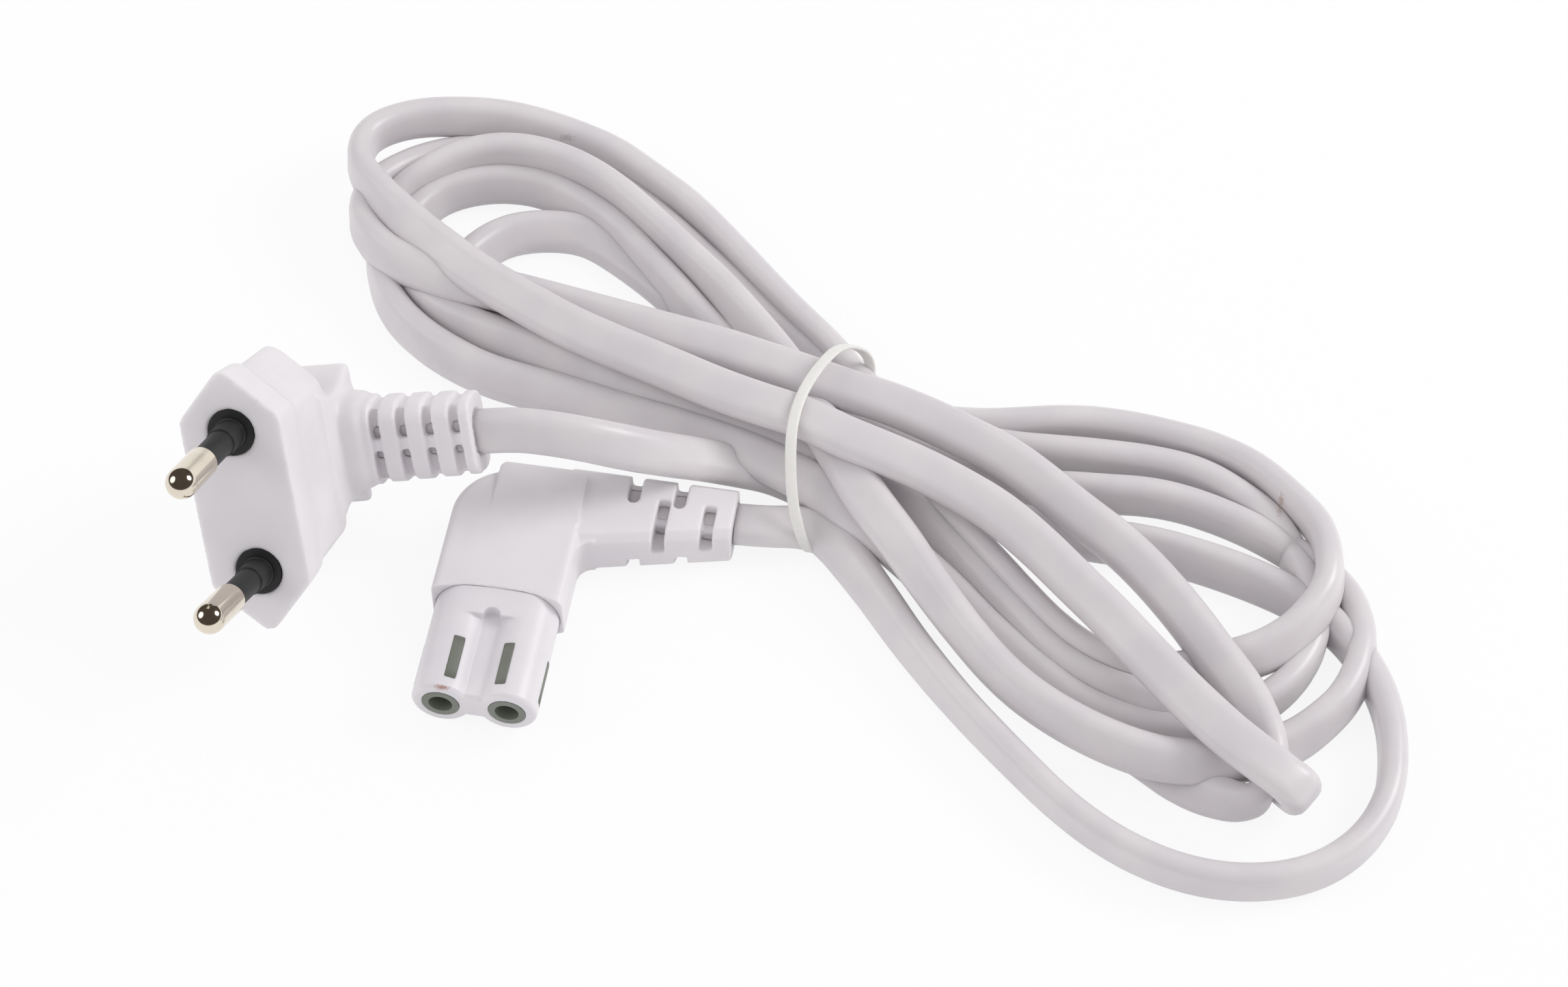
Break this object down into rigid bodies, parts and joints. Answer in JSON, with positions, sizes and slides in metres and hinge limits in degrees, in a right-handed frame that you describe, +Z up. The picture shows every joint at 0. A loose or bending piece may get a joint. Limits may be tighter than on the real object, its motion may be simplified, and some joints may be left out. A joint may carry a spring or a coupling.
{
  "type": "figure eight power lead",
  "caption": "White mains lead with a right-angle figure-eight connector, a flat angled two-pin plug and a flat cord folded into a banded figure-eight hank.",
  "frame": {"origin": "on the surface that the lead lies on, under the middle of the connector's bounding box", "axes": "+X from the connector's body along its side strain relief to the cord, -Y out of the connector's socket face, +Z up"},
  "size_m": [0.1585, 0.1119, 0.0414],
  "materials": {
    "white_rigid": "satin moulded plastic",
    "white_soft": "satin soft PVC",
    "grey_insert": "satin moulded plastic",
    "black_insert": "satin moulded plastic",
    "socket_brass": "plain turned brass",
    "pin_nickel": "bright nickel plate",
    "core_blue": "PVC insulation",
    "core_brown": "PVC insulation",
    "white_cord": "satin flexible PVC",
    "band_rubber": "translucent elastic"
  },
  "bodies": {
    "root": {"connector_nose": "white_rigid", "connector_overmould": "white_soft", "contact_carrier": "grey_insert", "contact_left": "socket_brass", "contact_right": "socket_brass", "connector_core_left": "core_blue", "connector_core_right": "core_brown", "connector_jacket": "white_cord", "plug_overmould": "white_soft", "plug_bridge": "black_insert", "plug_pin_upper": "pin_nickel", "plug_pin_lower": "pin_nickel", "plug_sleeve_upper": "black_insert", "plug_sleeve_lower": "black_insert", "plug_core_upper": "core_brown", "plug_core_lower": "core_blue", "plug_jacket": "white_cord", "cord_plug_lead": "white_cord", "cord_connector_lead": "white_cord", "cord_hank": "white_cord", "elastic_band": "band_rubber"}
  },
  "joints": []
}
